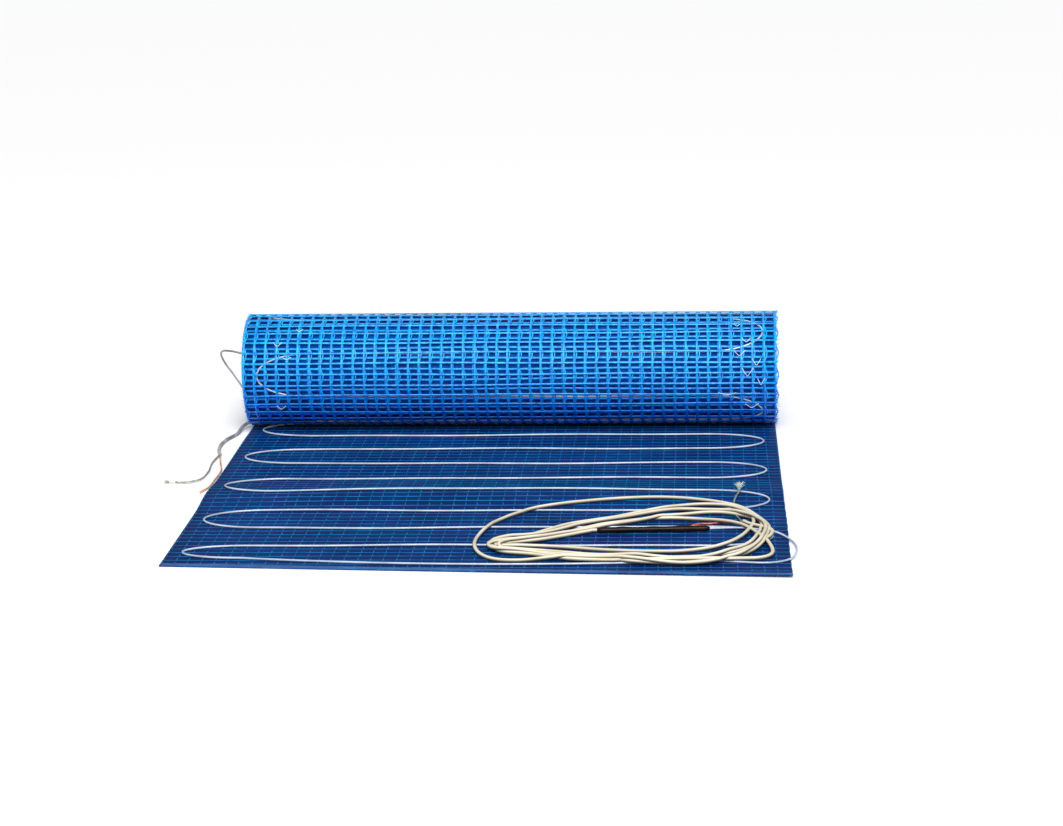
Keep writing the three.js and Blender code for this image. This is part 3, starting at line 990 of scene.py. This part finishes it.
def net(name, start, stop, weft_width, warp_width, material, stick_out=0.0):
    """A stretch of the leno net between two distances along the sheet."""
    vertices = []
    faces = []
    second = stop > roll_distance(math.tau)
    lift = SECOND_NET_LIFT if second else 0
    for seed, s in enumerate(weft_places(max(start, RIGHT_END_Y - AXIS_Y), stop)):
        weft(vertices, faces, s, lift, weft_width, seed, stick_out)
    for j in range(CELLS_ACROSS + 1):
        x = (-HALF_WIDTH + CELL * j) * (1 - EDGE_INSET / HALF_WIDTH)
        begin = max(start, free_end_y(x) - AXIS_Y)
        warp_ground(vertices, faces, x - 0.3 * warp_width, begin, stop, lift, warp_width, j)
        if not second:
            sway = (FLAT_SWAY if start < 0 else ROLL_SWAY) * warp_width
            width = warp_width * 0.8
            warp_doup(vertices, faces, x + 0.3 * warp_width, begin, stop, lift, width, j, sway)
    return mesh_piece(name, vertices, faces, material)


def add_nets():
    full_turn = roll_distance(math.tau)
    two_turns = roll_distance(2 * math.tau)
    pieces = [
        net("net_unrolled", -1, 0, 1.9 * MM, 0.9 * MM, flat_net_material()),
        net("net_outer_turn", 0, full_turn - LAP, 2.1 * MM, 2.0 * MM, roll_net_material(), 1.5 * MM),
        net("net_second_turn", full_turn - LAP, two_turns, 2.4 * MM, 2.6 * MM, deep_net_material()),
    ]
    for piece in pieces:
        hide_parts("mesh_mat")


# Loose fibres at each half square of a cut edge, and their shortest and longest in millimetres
FIBRES = 5
FIBRE_LENGTHS = (1.0, 3.6)


def above_floor(point):
    """The same point, or where the floor holds it up."""
    return Vector((point[0], point[1], max(point[2], WIRE)))


def add_fringe():
    """Short loose fibres at the roll's two cut edges."""
    vertices = []
    faces = []
    s = 2 * MM
    while s < roll_distance(math.tau):
        for side in (-1, 1):
            for _ in range(FIBRES):
                start, inward = on_sheet(side * (HALF_WIDTH - 0.5 * MM), s + random.uniform(-1, 1) * MM, 0)
                length = random.uniform(*FIBRE_LENGTHS) * MM
                bend = Vector((side, random.uniform(-0.5, 0.5), random.uniform(-0.5, 0.5))) * length
                middle = start + bend * 0.5 - inward * random.uniform(-0.2, 0.3) * MM
                points = [above_floor(p) for p in (start, middle, start + bend)]
                swept(vertices, faces, points, [inward] * 3, 0.35 * MM, 0.3 * MM, 4)
        s += CELL / 2
    fringe = mesh_piece("roll_edge_fringe", vertices, faces, fringe_material())
    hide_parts("mesh_mat")


def fringe_material():
    return varied("fringe_light_blue", (0.05, 0.4, 0.85), (0.35, 0.75, 1.0), 90, 0.4)


def hem_material():
    return varied("free_end_blue", (0.003, 0.045, 0.19), (0.012, 0.12, 0.36), 30, 0.35, specular=0.3)


HEM_WIDTH = 7 * MM
HEM_HALF_HEIGHT = 0.45 * MM
HEM_CROWN = 0.25 * MM
HEM_COLUMNS = 6


def add_hem():
    """The free end's smooth bound strip."""
    rows = []
    for j in range(CELLS_ACROSS + 1):
        x = -HALF_WIDTH + 2 * HALF_WIDTH * j / CELLS_ACROSS
        row = []
        for i in range(HEM_COLUMNS + 1):
            across = i / HEM_COLUMNS
            s = free_end_y(x) - AXIS_Y + HEM_WIDTH * across
            crown = HEM_CROWN * math.sin(math.pi * across)
            point, lift = on_sheet(x, s, 0)
            row.append((point + lift * (HEM_HALF_HEIGHT + crown), point - lift * HEM_HALF_HEIGHT))
        rows.append(row)
    hem = shell("free_end_strip", rows, hem_material())
    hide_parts("mesh_mat")


# Stitches that hold the cable's turns on the roll: (x, degrees round the roll from its bottom,
# half width and height in millimetres)
STITCHES = [
    (0.214, 262, 5, 7), (0.222, 252, 4, 6), (0.207, 243, 5, 5), (0.218, 300, 6, 5), (0.213, 229, 4, 4),
    (0.226, 272, 3, 6), (-0.209, 231, 4, 4), (-0.200, 246, 4, 2), (-0.207, 300, 4, 4), (0.196, 285, 8, 2),
    (-0.190, 214, 3, 3), (0.205, 210, 3, 3),
]


def add_stitches():
    """Thin thread in a V over the net's outside."""
    vertices = []
    faces = []
    for x, degrees, half, tall in STITCHES:
        s = roll_distance(math.radians(degrees))
        outline = [(-half, -tall), (-0.5 * half, 0.2 * tall), (0, tall)]
        outline += [(0.5 * half, 0.1 * tall), (half, -tall)]
        knots = [on_sheet(x + dx * MM, s + ds * MM * 0.5, -0.9 * MM)[0] for dx, ds in outline]
        points = smooth_line(knots, 1 * MM)
        normals = [on_sheet(x, s, 0)[1]] * len(points)
        swept(vertices, faces, points, normals, 0.5 * MM, 0.4 * MM, 5)
    stitches = mesh_piece("turn_stitches", vertices, faces, thread_material())
    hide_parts("mesh_mat")


# The splice and the stripped ends


def round_tube(name, points, radii, sides, material):
    vertices = []
    faces = []
    normals = [Vector((0, 0, 1))] * len(points)
    swept(vertices, faces, points, normals, [2 * r for r in radii], [2 * r for r in radii], sides)
    return mesh_piece(name, vertices, faces, material)


# The joints under the sleeve: (middle and spread as shares of its length, height as a share of its radius)
SLEEVE_BUMPS = [(0.22, 0.06, 0.16), (0.76, 0.07, 0.2), (0.5, 0.05, 0.1)]
SLEEVE_TAPER = 0.05


def add_splice():
    """A shrunk sleeve: it hugs the lead and the cable at its ends and shows the joints under it."""
    count = 90
    points = [SPLICE_LEFT.lerp(SPLICE_RIGHT, i / (count - 1)) for i in range(count)]
    radii = []
    for i in range(count):
        t = i / (count - 1)
        taper = min(1, (t + 0.004) / SLEEVE_TAPER, (1.004 - t) / SLEEVE_TAPER)
        swell = sum(high * math.exp(-((t - middle) / wide) ** 2) for middle, wide, high in SLEEVE_BUMPS)
        radii.append(SPLICE / 2 * (0.68 + 0.32 * math.sin(taper * math.pi / 2)) * (0.84 + swell))
    sleeve = round_tube("splice_shrink_sleeve", points, radii, 20, splice_material())
    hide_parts("splice_sleeve")


def fanned_wires(name, base, axis, length, spread, count, material):
    """Fine wires that fan out from one point."""
    vertices = []
    faces = []
    axis = Vector(axis).normalized()
    side = axis.cross(Vector((0, 1, 0.3))).normalized()
    other = axis.cross(side)
    for _ in range(count):
        turn = random.uniform(0, math.tau)
        out = spread * math.sqrt(random.uniform(0.02, 1))
        reach = length * random.uniform(0.65, 1)
        away = (side * math.cos(turn) + other * math.sin(turn)) * out
        start = Vector(base)
        points = [start, start + axis * reach * 0.4 + away * 0.2, start + axis * reach * 0.75 + away * 0.6]
        points.append(start + axis * reach + away)
        points = [above_floor(p) for p in points]
        swept(vertices, faces, points, [side] * 4, WIRE, WIRE, 4)
    return mesh_piece(name, vertices, faces, material)


BRAID_STEP = 1.2 * MM
BRAID_LAY = 7 * MM


def braid_tube(name, points, diameter, material):
    """A bunch of wires twisted round each other along a route."""
    vertices = []
    faces = []
    wires = 5
    line = smooth_line(points, BRAID_STEP)
    tangents = np.gradient(line, axis=0)
    tangents /= np.linalg.norm(tangents, axis=1)[:, None]
    up = np.array([0.0, 0.0, 1.0])
    for w in range(wires):
        strand = []
        for i, point in enumerate(line):
            side = np.cross(tangents[i], up)
            side /= np.linalg.norm(side)
            lift = np.cross(side, tangents[i])
            turn = math.tau * w / wires + i * BRAID_STEP / BRAID_LAY * math.tau
            strand.append(point + 0.32 * diameter * (side * math.cos(turn) + lift * math.sin(turn)))
        swept(vertices, faces, strand, [up] * len(line), 0.42 * diameter, 0.42 * diameter, 5)
    return mesh_piece(name, vertices, faces, material)


LEAD_CORE = [
    (0.2042, -0.2385, 0.0030), (0.2005, -0.2360, 0.0024), (0.193, -0.2350, 0.00205),
    (0.187, -0.2350, 0.00205), (0.179, -0.2375, 0.00205), (0.173, -0.2375, 0.00205),
    (0.165, -0.2425, 0.00205),
]
LEAD_BRAID = [
    (0.2048, -0.2385, 0.0031), (0.2030, -0.226, 0.0022), (0.1995, -0.210, 0.0022), (0.198, -0.195, 0.0026),
    (0.199, -0.180, 0.0045), (0.201, -0.168, 0.0058), (0.203, -0.159, 0.0064),
]
TUFT_HEIGHT = 9 * MM
TUFT_RADIUS = 5 * MM
FLARE_LENGTH = 10 * MM
FLARE_RADIUS = 3 * MM


def rounded_curve(name, route, diameter, material):
    return curve_tube(name, smooth_line(route, 1.5 * MM), diameter, material)


def add_lead_ends():
    """The stripped free ends of both leads. The long ones are cords of their own."""
    metal = strand_metal_material()
    core = rounded_curve("lead_core_red", LEAD_CORE, CORE, red_core_material())
    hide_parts("cold_lead_core")
    drain = braid_tube("lead_drain_wires", LEAD_BRAID, BRAID, metal)
    tuft = fanned_wires(
        "lead_drain_tuft", LEAD_BRAID[-1], (0.1, 0.25, 1), TUFT_HEIGHT, TUFT_RADIUS, 34, tuft_material()
    )
    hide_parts("cold_lead_braid")
    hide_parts("cold_lead_braid")
    second_core = rounded_curve("second_core_orange", SECOND_CORE, CORE, orange_core_material())
    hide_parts("second_lead_core")
    second_drain = braid_tube("second_drain_wires", SECOND_BRAID, BRAID, metal)
    flare = fanned_wires(
        "second_drain_flare", SECOND_BRAID[-1], (-1, 0.02, 0.06), FLARE_LENGTH, FLARE_RADIUS * 0.5, 22, metal
    )
    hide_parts("second_lead_braid")
    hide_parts("second_lead_braid")
    return [core]


def tuft_material():
    return varied("drain_tuft_pale_green", (0.4, 0.5, 0.42), (0.78, 0.86, 0.78), 300, 0.5, metallic=0.3)


def add_heating_cable(route):
    cable = curve_tube("heating_cable_line", route, CABLE_LOOK, cable_material())
    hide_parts("heating_cable")
    loop = curve_tube("roll_loop_line", roll_loop_route(), CABLE, bare_loop_material())
    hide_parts("heating_cable_roll_loop")


add_camera()
add_floor()
add_light()
cable_route = add_cords()
add_heating_cable(cable_route)
add_backing()
add_roll_fill()
add_nets()
add_fringe()
add_hem()
add_stitches()
add_splice()
